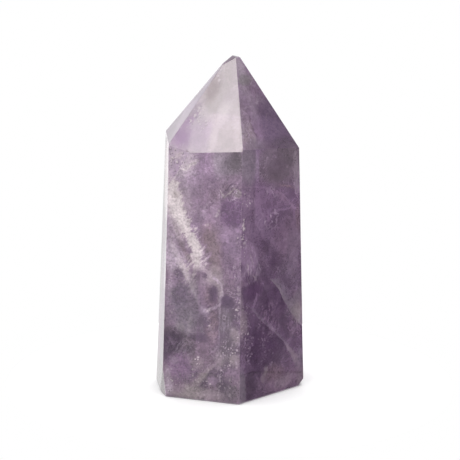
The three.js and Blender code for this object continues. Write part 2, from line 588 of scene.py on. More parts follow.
class Painter:
    """Paints one ground face in a node group of its own. Places are in millimetres across it and above the
    foot, and a turn is in degrees clockwise from upright."""

    def __init__(self, name, textures, tones, ground, light, dark):
        self.group = bpy.data.node_groups.new(name, "ShaderNodeTree")
        for title, value in textures.shared.items():
            kind = "NodeSocketVector" if value.type == "VECTOR" else "NodeSocketFloat"
            self.group.interface.new_socket(title, in_out="INPUT", socket_type=kind)
        self.group.interface.new_socket("Colour", in_out="OUTPUT", socket_type="NodeSocketColor")
        self.paint = paint = Pattern(self.group)
        self.given = paint.node("NodeGroupInput").outputs
        self.tones = tones
        turn = math.radians(FACES[name][0])
        sideways = (math.cos(turn), math.sin(turn), 0)
        across = paint.vectors("DOT_PRODUCT", self.given["Frayed"], sideways)
        spot = paint.node("ShaderNodeCombineXYZ", {0: across, 1: self.given["Height"]})
        self.spot_on_face = spot.outputs[0]
        self.straight_across = paint.vectors("DOT_PRODUCT", self.given["Straight"], sideways)
        # The renderer needs each value to be made only once, so these are kept for the next band or cut
        self.kept = {}
        self.fleck_share = self.veil_share = self.web_share = None
        self.coarse_grain, self.fine_grain = 1.0, 0.9
        self.cut_width = 0.2
        self.colour = paint.lay(tones[light], self.given["Light clouds"], tones[ground])
        self.lay(dark, self.given["Dark clouds"])

    def grain(self, coarse, fine):
        """How strong the coarse and the fine mottling are"""
        self.coarse_grain, self.fine_grain = coarse, fine

    def patch(self, strength, centre, radii, turn=0.0, soft=0.5):
        """A rounded patch with a radius across and one upright, before it is turned. Strength is in its
        middle."""
        place = self.from_centre(centre, radii, turn)
        return self.paint.step(place, 1 - soft, 1 + soft, strength, 0.0)

    def from_centre(self, centre, radii, turn):
        """How far a place is from a patch's centre, where 1 is the patch's outline"""
        paint, (wide, tall) = self.paint, radii
        if turn:
            sine, cosine = math.sin(math.radians(turn)), math.cos(math.radians(turn))
            offset = paint.vectors("SUBTRACT", self.spot_on_face, (*centre, 0))
            place = paint.node("ShaderNodeCombineXYZ", {
                0: paint.vectors("DOT_PRODUCT", offset, (cosine / wide, -sine / wide, 0)),
                1: paint.vectors("DOT_PRODUCT", offset, (sine / tall, cosine / tall, 0)),
            }).outputs[0]
        else:
            start = (-centre[0] / wide, -centre[1] / tall, 0)
            place = paint.vectors("MULTIPLY_ADD", self.spot_on_face, (1 / wide, 1 / tall, 0), start)
        return paint.vectors("LENGTH", place)

    def lay(self, tone, mask):
        """Lays a tone over the face where a mask says"""
        self.colour = self.paint.lay(self.tones[tone], mask, self.colour)

    def spot(self, tone, strength, centre, radii, turn=0.0, soft=0.5, right_of=None, left_of=None):
        """A rounded patch of a tone, which an upright back edge seen through the stone may cut off"""
        mask = self.patch(strength, centre, radii, turn, soft)
        for edge, low, high in ((right_of, 0.0, 1.0), (left_of, 1.0, 0.0)):
            if edge is not None:
                start, end = edge - self.cut_width, edge + self.cut_width
                cut = self.once("cut", self.straight_across, start, end, low, high)
                mask = self.paint.maths("MULTIPLY", mask, cut)
        self.lay(tone, mask)

    def ring(self, tone, strength, centre, radii, width):
        """The rim of a rounded patch"""
        past_outline = self.paint.maths("SUBTRACT", self.from_centre(centre, radii, 0), 1.0)
        off = self.paint.maths("ABSOLUTE", past_outline)
        self.lay(tone, self.paint.step(off, 0.0, width, strength, 0.0))

    def streak(self, tone, strength, start, end, width=0.5, soft=0.6):
        """A straight streak from one place to another"""
        over, up = end[0] - start[0], end[1] - start[1]
        centre = ((start[0] + end[0]) / 2, (start[1] + end[1]) / 2)
        length = math.hypot(over, up)
        turn = math.degrees(math.atan2(over, up))
        self.lay(tone, self.patch(strength, centre, (width / 2, length / 2), turn, soft))

    def path(self, tone, strength, points, width=0.5):
        """Streaks from each point to the next"""
        for start, end in zip(points, points[1:]):
            self.streak(tone, strength, start, end, width)

    def dots(self, tone, strength, places, radius=0.24):
        """Small bright dots, each with a shade below it: bubbles, and on the front right side painted glints
        """
        soft, shade_strength, length = 0.8, 0.4 * strength, 1.2 * radius
        for across, height in places:
            shade = (across + 0.5 * radius, height - radius)
            self.spot("plum", shade_strength, shade, (radius, radius), soft=soft)
            self.spot(tone, strength, (across, height), (radius, length), soft=soft)

    def once(self, title, value, *limits):
        """A step that is made only once for each title and limits"""
        key = (title, *limits)
        if key not in self.kept:
            self.kept[key] = self.paint.step(value, *limits)
        return self.kept[key]

    def off_line(self, points):
        """How far to the right of a rising or falling line a place is, square to the line"""
        points = tuple(sorted(points, key=lambda point: point[1]))
        if points in self.kept:
            return self.kept[points]
        paint, least_width = self.paint, 0.1
        low, high = points[0][1], points[-1][1]
        left = min(point[0] for point in points)
        right = max(point[0] for point in points)
        width = max(right - left, least_width)
        slope = (points[-1][0] - points[0][0]) / (high - low)
        height = self.given["Straight height"]
        part = paint.maths("MULTIPLY_ADD", height, 1 / (high - low), -low / (high - low))
        shape = [((point[1] - low) / (high - low), (point[0] - left) / width) for point in points]
        middle = paint.maths("MULTIPLY_ADD", paint.curve(part, shape), width, left)
        gap = paint.maths("SUBTRACT", self.straight_across, middle)
        self.kept[points] = paint.maths("MULTIPLY", gap, math.cos(math.atan(slope)))
        return self.kept[points]

    def band(self, tone, strength, points, left, right, ends=1.0, torn=0.0):
        """A band along a line. Left and right say where it is full and where it has faded, on each side, and
        torn is the scale of the tears in its edges."""
        off = self.off_line(points)
        if torn:
            off = self.paint.maths("MULTIPLY_ADD", self.given["Tears"], torn, off)
        height = self.given["Straight height"]
        low, high = min(point[1] for point in points), max(point[1] for point in points)
        self.lay(tone, self.paint.product(
            self.paint.step(off, -left[1], -left[0], 0.0, strength),
            self.paint.step(off, right[0], right[1], 1.0, 0.0),
            self.once("end", height, low - ends, low + ends, 0.0, 1.0),
            self.once("end", height, high - ends, high + ends, 1.0, 0.0),
        ))

    def brushed(self, tone, strength, centre, radii, fibres="Upright fibres"):
        """A patch of parallel fibres"""
        self.lay(tone, self.paint.maths("MULTIPLY", self.patch(strength, centre, radii), self.given[fibres]))

    def joined(self, zone, *patch):
        """A zone with another patch added to it"""
        added = self.patch(*patch, soft=ZONE_SOFTNESS)
        return added if zone is None else self.paint.maths("MAXIMUM", added, zone)

    def sparkle(self, *patch):
        """A zone with small flecks in it"""
        self.fleck_share = self.joined(self.fleck_share, *patch)

    def sheets(self, *patch):
        """A zone with thin light lines in it"""
        self.veil_share = self.joined(self.veil_share, *patch)

    def net(self, *patch):
        """A zone with a close net of light lines in it"""
        self.web_share = self.joined(self.web_share, *patch)

    def finish(self):
        """Lays the fine structure over the face's colour, and gives the colour out"""
        for share, tone, structure in (
            (self.veil_share, "pale", "Veils"),
            (self.web_share, "pale", "Web"),
            (self.fleck_share, "plum", "Shades"),
            (self.fleck_share, "milk", "Sparks"),
        ):
            if share is not None:
                self.lay(tone, self.paint.maths("MULTIPLY", share, self.given[structure]))
        self.paint.node("NodeGroupOutput", {"Colour": self.colour})


def depth_below(paint, textures, name):
    """How far below a ground face's plane a place is, in millimetres"""
    normal = facing(*FACES[name])
    reach = max(vert.co.dot(normal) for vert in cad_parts[NODE].data.vertices) / MM
    return paint.maths("SUBTRACT", reach, paint.vectors("DOT_PRODUCT", textures.place, tuple(normal)))


def paint_faces(paint, textures, tones):
    """Paints each face where it lies nearest, and gives the colour and the strengths of the mottling"""
    past_all_faces, sliver = 1000.0, 0.04
    depths = {name: depth_below(paint, textures, name) for name in FACES}
    nearest = past_all_faces
    for depth in depths.values():
        nearest = paint.maths("MINIMUM", depth, nearest)
    colour = tones["mauve"]
    coarse_grain, fine_grain = 1.0, 1.0
    for name, pattern, ground, light, dark in (
        ("right side", right_side, "purple", "lilac", "violet"),
        ("back side", back_side, "mauve", "lilac", "violet"),
        ("back left side", back_left_side, "mauve", "pale", "purple"),
        ("left side", left_side, "grey", "ash", "haze"),
        ("right tip", right_tip, "mauve", "lilac", "purple"),
        ("back tip", back_tip, "lilac", "pale", "mauve"),
        ("back left tip", back_left_tip, "haze", "pale", "mauve"),
        ("left tip", left_tip, "haze", "haze", "ash"),
        ("left shoulder", left_shoulder, "pale", "cream", "lilac"),
        ("chipped tip", chipped_tip, "haze", "pale", "mauve"),
        ("front left side", front_left_side, "mauve", "lilac", "purple"),
        ("front right side", front_right_side, "purple", "mauve", "shade"),
        # The front left tip's pearl and cream are partly the quartz's own and partly painted reflection
        ("front left tip", front_left_tip, "pearl", "cream", "ash"),
        ("front right tip", front_right_tip, "lilac", "pale", "mauve"),
    ):
        face = Painter(name, textures, tones, ground, light, dark)
        pattern(face)
        face.finish()
        painted = paint.node("ShaderNodeGroup", textures.shared, node_tree=face.group).outputs["Colour"]
        cover = paint.step(paint.maths("SUBTRACT", depths[name], nearest), 0.0, sliver, 1.0, 0.0)
        colour = paint.lay(painted, cover, colour)
        coarse_grain = paint.blend(face.coarse_grain, cover, coarse_grain)
        fine_grain = paint.blend(face.fine_grain, cover, fine_grain)
    return colour, coarse_grain, fine_grain


def amethyst_finish(colours):
    """The polished quartz: purple growth zones, white chevron bands, veils and flecks"""
    material = bpy.data.materials.new("polished amethyst")
    material.use_nodes = True
    material.node_tree.nodes.clear()
    paint = Pattern(material.node_tree)
    textures = Textures(paint)
    tones = {name: (*getattr(colours, name), 1.0) for name in colours.__annotations__}
    colour, coarse_grain, fine_grain = paint_faces(paint, textures, tones)

    # Thin veils run all through the stone, and so does the grain. It is black that is laid on with a mask
    # that may be below nothing, which makes a place lighter.
    veils_everywhere = 0.15
    veils = paint.maths("MULTIPLY", textures.shared["Veils"], veils_everywhere)
    colour = paint.lay(tones["pale"], veils, colour)
    coarse = paint.maths("MULTIPLY_ADD", paint.maths("SUBTRACT", textures.coarse, 0.5), coarse_grain, 1.0)
    fine = paint.maths("MULTIPLY_ADD", paint.maths("SUBTRACT", textures.fine, 0.5), fine_grain, 1.0)
    darker = paint.maths("SUBTRACT", 1.0, paint.maths("MULTIPLY", coarse, fine))
    colour = paint.lay((0.0, 0.0, 0.0, 1.0), darker, colour, in_range=False)

    smoothest, dulled, scratch_size, scratch_depth = 0.04, 0.06, 0.35, 0.004 * MM
    polish = paint.maths("MULTIPLY_ADD", textures.coarse, dulled, smoothest)
    scratches = paint.noise(textures.place, scratch_size, 4, 0.7)
    bump = paint.node("ShaderNodeBump", {"Strength": 0.25, "Distance": scratch_depth, "Height": scratches})
    shader = paint.node("ShaderNodeBsdfPrincipled", {
        "Base Color": colour, "Roughness": polish, "IOR": QUARTZ_IOR, "Transmission Weight": CLEAR_SHARE,
        "Normal": bump.outputs[0],
    })
    absorb = paint.node("ShaderNodeVolumeAbsorption", {"Color": CLEAR_TINT, "Density": CLEAR_DENSITY})
    paint.node("ShaderNodeOutputMaterial", {"Surface": shader.outputs[0], "Volume": absorb.outputs[0]})
    return material


def left_side(side):
    """A narrow grey side, seen at a glance, with a painted highlight at its top"""
    side.grain(0.5, 0.5)
    # The cream and the snow at the top are a painted highlight, a white stripe of reflected light
    side.spot("cream", 0.7, (3, 52), (7, 3.5))
    side.spot("snow", 1.0, (5.2, 53.4), (2.6, 4), soft=0.4)
    side.spot("milk", 0.8, (4, 45.5), (6, 3), 70)
    side.spot("mauve", 0.5, (1, 36), (4, 4))
    side.spot("lilac", 0.4, (4, 24), (4, 7))
    side.spot("mauve", 0.6, (0, 12), (4, 6))
    side.sheets(0.5, (2, 28), (6, 26))


def left_tip(tip):
    """An even grey-lilac face"""
    tip.grain(0.15, 0.15)
    tip.spot("ash", 0.5, (0.5, 60), (2.5, 3))
    tip.spot("lilac", 0.2, (0.5, 68), (1.5, 4))


def left_shoulder(cut):
    """A small facet over the pale speckled corner"""
    cut.sparkle(0.9, (-8, 52), (5, 6))
    cut.spot("lilac", 0.5, (-6, 50), (2, 3))


def chipped_tip(cut):
    """A small dull facet beside the tip"""
    cut.spot("mauve", 0.6, (0, 73), (1.2, 2))
    cut.sparkle(0.6, (-1, 72), (2, 2))


def front_left_side(side):
    """The milky band, the thin band below it, and the dark zones between them"""
    side.grain(1.3, 1.7)
    # Pale at the upper left, deeper at the right and near the foot
    side.spot("lilac", 0.75, (-7, 46), (5, 11), soft=0.7)
    side.spot("pale", 0.65, (-7.2, 48.8), (3.2, 5.4), soft=0.8)
    side.spot("purple", 0.35, (5.5, 42), (3.5, 12), soft=0.6)
    side.spot("dusk", 0.9, (0, 11.5), (12, 16), soft=0.3)
    side.spot("dusk", 0.6, (4.6, 20), (3.4, 11))
    side.spot("shade", 0.8, (4.2, 13), (2.6, 11.5))
    # The pale speckled corner at the upper left
    side.spot("lilac", 0.8, (-4.6, 52.8), (4.4, 3.8), soft=0.6)
    side.spot("pale", 0.9, (-8.4, 53.2), (3.4, 3.8), soft=0.6)
    side.spot("snow", 0.4, (-8, 53.8), (3.6, 3.8), soft=0.6)
    side.spot("pale", 0.5, (-7.2, 50.9), (1.2, 0.6))
    side.spot("pale", 0.5, (-4.6, 50.6), (0.9, 0.5))
    side.streak("milk", 0.7, (-6.3, 51.7), (-3.6, 53.6), 0.8)
    side.dots("snow", 0.9, (
        (-8.6, 54.6), (-8.2, 52.8), (-7.6, 54), (-7.4, 55.2), (-6.6, 54.4), (-9, 51.2), (-6.5, 51.6),
    ))
    side.sparkle(1.0, (-7.6, 54.2), (3.2, 3))
    side.net(0.8, (-7.6, 54), (3, 3))
    side.sparkle(0.5, (-7, 51), (3.5, 3))
    # The smoky corner at the upper right
    side.spot("haze", 0.7, (2.4, 53.4), (3.4, 3.4), right_of=0.1)
    side.spot("ash", 0.4, (0.8, 54), (1.5, 2.2), soft=0.6)
    side.spot("smoke", 0.8, (5, 54), (2.9, 3.2), soft=0.7)
    side.spot("soot", 0.6, (5, 54.4), (1.6, 2), soft=0.8)
    side.spot("mauve", 0.5, (4.6, 49.8), (2.6, 1.3))
    side.streak("lilac", 0.4, (0.1, 51.5), (0.3, 48))
    # The inverted V, and the deep purple zone that it roofs over
    side.spot("dusk", 0.7, (3.8, 47.4), (2.8, 1.6))
    side.brushed("plum", 0.7, (4, 47.6), (2.6, 1.6), "Rising fibres")
    side.spot("violet", 0.85, (4.9, 42.8), (4.2, 3.2), soft=0.35, right_of=1.9)
    side.path("beige", 0.7, ((1.7, 47.8), (2.9, 46.1), (4.9, 47.9), (6.7, 47.3)), 0.35)
    side.spot("beige", 0.35, (5.9, 46.8), (1, 0.7))
    side.net(1.0, (4, 47.6), (3, 1.9))
    side.spot("lilac", 0.4, (4.3, 37.6), (2.7, 1.9), soft=0.4, right_of=1.9)
    side.spot("violet", 0.2, (4, 33.4), (2.4, 2.5), right_of=1.9)
    side.spot("lilac", 0.3, (5.4, 32.4), (1.6, 3.4), soft=0.6)
    side.dots("cream", 0.7, (
        (1, 42.3), (0.7, 41.7), (1.4, 43.2), (-1.1, 39.6), (-1.7, 39.4), (-3.9, 42.8), (-1.2, 44.3),
    ))
    side.spot("pale", 0.35, (-2.7, 42.8), (1, 1.4))
    side.spot("pale", 0.3, (0.4, 42.6), (0.8, 1.2))
    side.sparkle(1.0, (6.8, 37), (0.8, 3.5))
    # Brown-grey quartz at the right of the milky band
    side.spot("brown", 0.85, (-0.2, 34), (2.4, 5.6), -8)
    side.spot("smoke", 0.3, (0.2, 33), (1.6, 4), soft=0.6)
    side.spot("smoke", 0.6, (-1.7, 32.4), (1.2, 2.2), soft=0.6)
    side.spot("beige", 0.6, (0.9, 27.6), (1.9, 2.6), soft=0.6)
    side.spot("brown", 0.4, (0.1, 46.1), (1.4, 1.2))
    side.spot("mauve", 0.7, (-1.8, 45), (3.2, 4))
    side.net(0.35, (-1, 44), (4, 5))
    # The milky band, made of fibres and torn at both edges
    side.spot("pale", 0.75, (-9.4, 37.2), (2.2, 6.2))
    side.spot("dusk", 0.5, (-6.4, 35), (1.2, 1.8), -30, 0.6)
    side.spot("dusk", 0.4, (-8.4, 38), (1.4, 1.8), soft=0.6)
    side.brushed("dusk", 0.5, (-9, 37.8), (2.2, 4), "Rising fibres")
    milky_line = [
        (-9.8, 49), (-8.8, 45), (-7.8, 42), (-6.7, 40), (-5.5, 38), (-4.4, 36), (-3.5, 34),
        (-3.1, 32), (-2.8, 30),
    ]
    side.band("lilac", 0.7, milky_line, (1, 3), (1, 3.2), 2, torn=1.0)
    side.band("cream", 0.8, milky_line, (0.7, 2.2), (0.7, 2.1), 1.5, torn=1.0)
    side.spot("pearl", 0.5, (-5.9, 44), (1.3, 3.6), -10, 0.7)
    side.band("milk", 0.9, milky_line, (0.5, 1.8), (0.4, 1.8), 1.2, torn=1.0)
    side.streak("cream", 0.5, (-9.4, 41), (-6.4, 35.6), 1.6, 0.9)
    side.spot("milk", 0.75, (-9.4, 44.6), (2.1, 4), -10)
    side.spot("snow", 0.8, (-8.8, 43.6), (1.4, 2.8), -16, 0.6)
    side.spot("snow", 0.7, (-7.2, 40.4), (1.3, 2.2), -35)
    side.spot("snow", 0.5, (-3.8, 35.2), (0.9, 2.6), -30, 0.6)
    side.spot("beige", 0.7, (-8.6, 45.6), (0.9, 0.8))
    side.path("pearl", 0.5, ((-2.4, 31.2), (-1.5, 29.4), (0.6, 28.2)), 1.0)
    # Between the milky band and the thin one
    side.streak("dusk", 0.5, (-9.6, 36.6), (-5.2, 31.2), 1.2)
    side.streak("brown", 0.5, (-7, 35.4), (-4.4, 30.8), 1.1)
    side.dots("milk", 0.7, ((-4.2, 31.9), (-3.6, 32.4)))
    thin_line = [
        (-9.6, 35.2), (-8.2, 32.5), (-6, 28.3), (-4, 24.8), (-2.2, 21.5), (-0.8, 18.5), (0.4, 15.5),
        (1, 13.8),
    ]
    side.band("lilac", 0.5, thin_line, (0.2, 1), (0.4, 2.4), torn=0.4)
    side.band("pale", 0.45, thin_line, (0, 0.4), (0.1, 1.3), torn=0.4)
    side.streak("milk", 0.7, (-9, 34.6), (-5.6, 27.6), 1.5)
    side.spot("pale", 0.5, (-7, 32.4), (1.1, 2.8), -30, 0.6)
    side.streak("pale", 0.8, (-6, 28.4), (-1.4, 20), 0.9)
    side.streak("milk", 0.5, (-5.8, 28), (-3, 22.8), 0.6)
    side.brushed("cream", 0.7, (-5.4, 28.6), (2, 4), "Rising fibres")
    side.spot("cream", 0.4, (-4.6, 26.8), (0.9, 3), -30, 0.6)
    side.spot("pearl", 0.25, (-1.2, 26.8), (1.2, 1.6))
    side.spot("beige", 0.4, (2.4, 24.6), (0.7, 3.4), soft=0.6)
    # The dark round patches at the left edge
    side.spot("pale", 0.75, (-9.2, 31.2), (1.8, 3))
    side.spot("purple", 0.8, (-7.7, 28.2), (1.1, 1.3), soft=0.4)
    side.spot("lilac", 0.6, (-8.8, 23), (2, 4.4))
    side.spot("pale", 0.4, (-9.6, 24.4), (0.8, 2.4))
    side.spot("slate", 0.6, (-5.4, 20.5), (4, 6.5))
    side.spot("slate", 0.9, (-7, 23.2), (1.9, 2.9), soft=0.3)
    side.spot("purple", 0.5, (-7, 23.6), (1.4, 2.2))
    side.spot("lilac", 0.4, (-9, 17.8), (1.4, 2))
    side.spot("haze", 0.5, (-5.2, 18), (2.6, 2.8), soft=0.6)
    side.spot("shade", 0.6, (-1.8, 16.6), (1.1, 2.8))
    side.spot("ash", 0.45, (-4.5, 17), (0.5, 2.2), 10)
    side.spot("ash", 0.35, (-1.7, 16.3), (0.4, 1.3))
    side.spot("ash", 0.55, (-6.8, 16.4), (1.2, 1))
    side.spot("plum", 0.75, (-2.4, 14.2), (2.2, 1))
    side.spot("night", 0.9, (-9, 12.4), (2.9, 3.1), soft=0.45)
    side.spot("plum", 0.7, (-9.6, 9.4), (1.6, 1.8))
    side.streak("purple", 0.7, (-10, 14.4), (-7.6, 11.4), 0.8)
    side.streak("haze", 0.5, (-6.8, 12.8), (-7.9, 10.4), 0.35)
    side.streak("plum", 0.6, (-2.8, 12.4), (-7.2, 9.6), 1.4)
    side.brushed("haze", 0.4, (-5.4, 11), (2.6, 2.2), "Rising fibres")
    side.sparkle(0.4, (-9.2, 28), (1.8, 9))
    # The rimmed patch and the wedge below it
    side.spot("mauve", 0.8, (-0.5, 23.8), (2.2, 2.9), soft=0.4)
    side.spot("brown", 0.6, (0, 24), (1.4, 2.2), soft=0.6)
    side.spot("plum", 0.9, (0.9, 24.5), (1.15, 2.1))
    side.path("pale", 0.6, ((0.6, 28.4), (2.6, 27), (3, 24.6), (2.3, 22.2), (-0.6, 20.2)), 0.7)
    side.streak("cream", 0.4, (3, 26.6), (2.6, 23), 0.4)
    side.spot("pale", 0.5, (-1.3, 20.2), (1, 0.7), soft=0.6)
    side.spot("plum", 0.7, (-1.4, 28.2), (0.5, 0.5))
    side.spot("brown", 0.7, (0.5, 17), (1.2, 3.4))
    side.streak("pale", 0.5, (2.5, 22.4), (1.8, 13), 0.4)
    side.streak("pale", 0.4, (1.8, 13), (0.1, 10.8), 0.35)
    side.dots("milk", 0.8, ((-0.8, 20.2), (-0.2, 20.6), (-0.4, 17.2)))
    side.ring("pale", 0.5, (-0.3, 18.2), (0.42, 0.42), 0.4)
    side.brushed("plum", 0.5, (0.6, 20), (2.4, 7), "Rising fibres")
    # The dark zone right of the wedge, and the beads along the edge
    side.spot("plum", 0.95, (3.9, 22.7), (1.5, 1.7), soft=0.35)
    side.spot("smoke", 0.85, (3.6, 17), (1.6, 4.2), soft=0.4, right_of=2.1)
    side.spot("plum", 0.8, (3.4, 14.2), (1.5, 1.6))
    side.spot("plum", 0.6, (2.6, 6.6), (1.3, 1.8), 20, 0.6)
    side.brushed("haze", 0.5, (3.8, 18), (1.4, 3))
    side.ring("pale", 0.5, (3.4, 19.2), (0.4, 0.45), 0.4)
    side.brushed("violet", 0.8, (4.8, 29.4), (1.8, 2.6))
    side.net(0.8, (4.8, 28.4), (2.4, 3.4))
    side.spot("purple", 0.5, (6.4, 20), (0.9, 11), soft=0.4)
    side.spot("beige", 0.65, (5.9, 15.2), (1.2, 1.9))
    side.spot("smoke", 0.8, (4, 12.4), (2.2, 3))
    side.spot("mauve", 0.5, (4.6, 31.6), (2.2, 2.6))
    side.spot("beige", 0.55, (6, 10.4), (1, 1.4))
    side.spot("pearl", 0.4, (2.2, 10.4), (0.9, 1.4))
    side.sparkle(0.7, (6.5, 20), (0.9, 11.5))
    side.sparkle(0.8, (4.8, 11.4), (2.4, 2.8))
    side.net(0.7, (6.2, 18), (1.2, 10))
    side.net(0.7, (4.2, 11.6), (2.8, 2.8))
    side.dots("pearl", 0.7, ((6.7, 26), (6.6, 25), (6.8, 23.5), (6.6, 21.8), (6.7, 20.4)))
    # Near the foot
    side.spot("lilac", 0.6, (-6.4, 7), (3.4, 2.8))
    side.spot("orchid", 0.3, (-6.8, 7.4), (3, 2.6), soft=0.6)
    side.spot("pale", 0.3, (-8, 8.6), (1.2, 0.9))
    side.sparkle(1.0, (-2.6, 8.9), (1, 1))
    side.spot("beige", 0.35, (-2.6, 8.4), (1.3, 1.3))
    side.streak("plum", 0.6, (-2.3, 6.8), (-4.6, 4.3), 0.8)
    side.streak("beige", 0.6, (3.2, 9.5), (-3.8, 3.2), 1.5, 0.8)
    side.streak("plum", 0.8, (2.2, 8.6), (-0.6, 5.2), 1.0)
    side.spot("mauve", 0.5, (6.4, 4), (1.6, 4.4), soft=0.6)
    side.spot("plum", 0.7, (-1.1, 3.9), (0.8, 1.1))
    side.spot("lilac", 0.55, (1.1, 4.9), (1.3, 1.4), soft=0.4)
    side.path("pale", 0.5, ((2.4, 6.7), (3, 4.2), (2.3, 2.3)), 0.4)
    side.spot("mauve", 0.8, (5.4, 6.8), (1.9, 1.9))
    side.spot("plum", 0.6, (3.6, 4), (1, 1.3))
    side.spot("beige", 0.65, (-5, 1.8), (4.2, 1.6))
    side.spot("pearl", 0.5, (1, 1.4), (2.6, 1.1))
    side.spot("smoke", 0.5, (5.4, 2.6), (1.8, 1.8))
    side.spot("orchid", 0.3, (-7.2, 2.6), (1.6, 1.4))
    side.spot("pale", 0.7, (-9.6, 2.4), (1.1, 2))
    side.spot("pale", 0.5, (-9.9, 5.4), (0.8, 1.5))
    side.sparkle(0.9, (-9.2, 2.6), (1.4, 2.4))
    side.sparkle(0.4, (0, 5), (8, 4))
    side.net(0.2, (-1, 10), (9, 9))
    side.spot("night", 0.16, (-1, 12), (12, 15), soft=0.4)


def front_right_side(side):
    """Two bands that fall to the right, sharp below and soft above, with dark zones under them"""
    side.grain(1.1, 1.3)
    # The smoky zone at the top
    side.spot("haze", 0.9, (-6.6, 52.8), (3.4, 4.4))
    side.spot("ash", 0.3, (-7.6, 54), (2.4, 2.8), soft=0.6)
    side.spot("smoke", 0.9, (3.4, 52.2), (7.6, 5), soft=0.3, right_of=-3.1)
    side.spot("soot", 0.35, (4.6, 51.4), (4, 3), soft=0.7)
    side.spot("ash", 0.45, (8.8, 50.6), (0.9, 3.4))
    side.brushed("haze", 0.6, (-6, 52), (3, 4))
    # The arches below it
    side.spot("purple", 0.75, (-2.4, 45), (3, 3.2))
    side.spot("smoke", 0.5, (7.6, 47.6), (2.8, 3), soft=0.6)
    side.spot("ash", 0.45, (9, 47.6), (1, 2.8), soft=0.6)
    arch = [(-9.2, 48.7), (-7, 48.3), (-3.2, 47.8), (-1, 47.2), (0.3, 46.6), (0.9, 45.9)]
    side.band("lilac", 0.4, arch, (0.05, 0.4), (0, 0.2), 0.3)
    second_arch = [(2.3, 46.1), (3.6, 45.4), (5, 44.3), (7, 42.3), (8.6, 40.8)]
    side.spot("plum", 0.6, (7.6, 44.2), (2, 0.9), 46, 0.6)
    side.band("mauve", 0.5, second_arch, (0.1, 1.6), (0, 0.25), 0.3)
    side.band("lilac", 0.2, second_arch, (0.05, 0.4), (0, 0.2), 0.3)
    side.streak("brown", 0.5, (3.5, 47.2), (8.2, 45.6))
    side.streak("lilac", 0.4, (0.4, 41.2), (5, 41.6), 0.4)
    side.streak("lilac", 0.4, (4, 41.5), (9.8, 40.9), 0.4)
    side.spot("shade", 0.4, (4.6, 39.2), (4.2, 1.6), soft=0.6)
    side.path("lilac", 0.4, ((-4.7, 43), (-4.3, 39.8), (-1.9, 37.8)), 0.4)
    side.spot("lilac", 0.45, (-8.2, 39.4), (2, 9))
    side.spot("lilac", 0.25, (-4, 40), (3, 7), soft=0.7)
    side.sparkle(0.6, (-7.8, 45.6), (2, 2.4))
    side.sparkle(0.9, (-8.2, 38), (1.2, 5))
    # These white dots are painted glints, each with a painted shade below it
    side.dots("pale", 0.9, ((-1.3, 39.8), (0.8, 39.5), (0.5, 40.7)), 0.2)
    side.dots("milk", 0.9, ((-8.1, 40), (-7.8, 39.2), (-7.4, 35), (-7.9, 36)), 0.34)
    side.spot("lilac", 0.35, (-7.4, 46.6), (3.2, 2.6), soft=0.6)
    # The lilac patch and the rays below it
    side.spot("lilac", 0.85, (-6.6, 32.8), (2.6, 3.4), -15, 0.4)
    side.path("pale", 0.35, ((-7, 35.2), (-5, 33.5), (-3.8, 31), (-2.8, 29)), 0.3)
    side.brushed("pale", 0.45, (-6.2, 29), (2.6, 2.4))
    side.streak("cream", 0.5, (-7.6, 31.4), (-6.8, 29), 0.3)
    side.streak("cream", 0.45, (-6.6, 33.2), (-5.4, 30.4), 0.3)
    side.streak("cream", 0.5, (-5.4, 28.8), (-4.4, 26.8), 0.3)
    side.streak("cream", 0.4, (-7.2, 28.4), (-6.6, 26.6), 0.3)
    side.spot("plum", 0.25, (-3.6, 35.6), (1.8, 1.1), 20, 0.6)
    side.spot("plum", 0.25, (-1.4, 34), (2.2, 1.3), 40, 0.6)
    side.spot("plum", 0.5, (2, 30.4), (1.8, 2.6), soft=0.6)
    side.spot("shade", 0.35, (0.4, 33.2), (3, 1.4), 40)
    side.spot("plum", 0.6, (-1.5, 26.7), (2, 0.8), 34, 0.6)
    side.spot("plum", 0.6, (-6.4, 28), (1.4, 0.8), soft=0.6)
    side.spot("mauve", 0.75, (6.4, 35.2), (4.2, 4.4), soft=0.6)
    side.spot("haze", 0.3, (7.6, 33.6), (2.4, 3), soft=0.6)
    side.spot("haze", 0.25, (6.4, 26.4), (3.4, 4.4), soft=0.6)
    side.spot("brown", 0.4, (9.4, 39), (0.8, 3))
    side.streak("lilac", 0.4, (4.7, 35.5), (4.1, 34), 0.6)
    # The upper band and the dark zone under it
    upper_line = [
        (0.2, 26.4), (1.2, 25.4), (2.3, 24.2), (3.4, 22.6), (4.4, 20.8), (5.6, 19.1), (8.3, 15.8),
        (10.2, 13.8),
    ]
    side.spot("plum", 0.8, (0.4, 20.6), (7, 3.4), -43, 0.4)
    side.band("haze", 0.6, upper_line, (0, 0.2), (0.4, 3), 0.5)
    side.spot("ash", 0.5, (7, 19.4), (4.2, 1.3), -40, 0.6)
    side.band("ash", 0.4, upper_line, (0, 0.15), (0, 0.9), 0.5)
    side.spot("beige", 0.65, (8.6, 17.6), (1.7, 2))
    side.spot("plum", 0.6, (-5.6, 25.2), (2.8, 2.4))
    side.spot("violet", 0.5, (-5.4, 24.8), (2, 2))
    side.streak("lilac", 0.5, (-5.6, 20.8), (-4.4, 23.8), 0.6)
